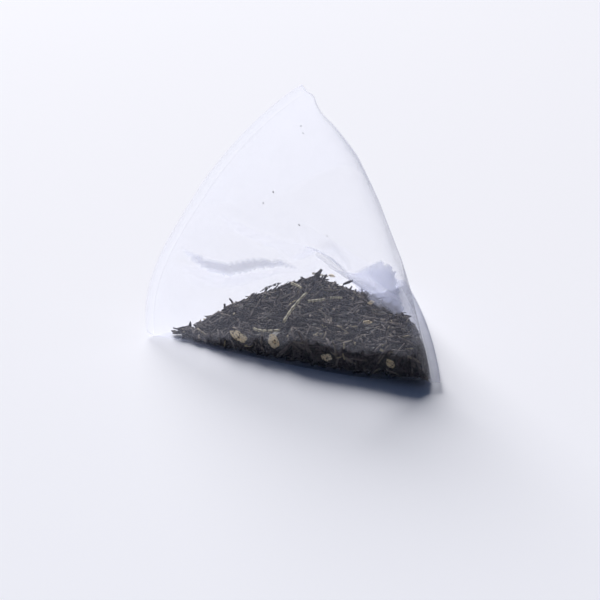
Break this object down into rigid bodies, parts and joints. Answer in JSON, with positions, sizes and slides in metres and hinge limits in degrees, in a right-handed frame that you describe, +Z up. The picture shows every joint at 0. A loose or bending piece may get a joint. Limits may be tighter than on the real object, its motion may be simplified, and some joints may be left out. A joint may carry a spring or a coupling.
{
  "type": "pyramid tea bag",
  "caption": "Four-sided tea bag of fine see-through mesh film, welded shut along two crossed edges and lying on one side, with loose leaf tea heaped inside.",
  "frame": {"origin": "on the floor, under the middle of the bag's bounding box", "axes": "+Z up; +Y runs along the weld that lies on the floor, away from the viewer; the standing weld is on the -X side and rises towards +X"},
  "size_m": [0.0544, 0.058, 0.0492],
  "materials": {
    "film": "fine woven mesh, satin",
    "leaf": "dry leaf, matt",
    "curl": "dry rolled leaf, matt",
    "stem": "dry stalk, matt",
    "chip": "dry stalk chip, matt"
  },
  "bodies": {
    "root": {"mesh_pouch": "film", "tea_heap": "leaf", "stem_long": "stem", "stem_cross": "stem", "stem_far": "stem", "stem_short": "stem", "stalk_curved": "stem", "stem_back": "stem", "leaf_left_flat": "curl", "leaf_left_spike": "curl", "leaf_crest_left": "curl", "leaf_crest_tall": "curl", "leaf_crest_right": "curl", "leaf_curl_mid": "curl", "leaf_curl_low": "curl", "leaf_curl_right": "curl", "leaf_curl_back": "curl", "chip_ridge": "chip", "chip_middle": "chip", "chip_right": "chip", "chip_back": "chip", "chip_front_left": "chip", "chip_front_middle": "chip", "chip_front_low": "chip", "chip_front_right": "chip"}
  },
  "joints": []
}
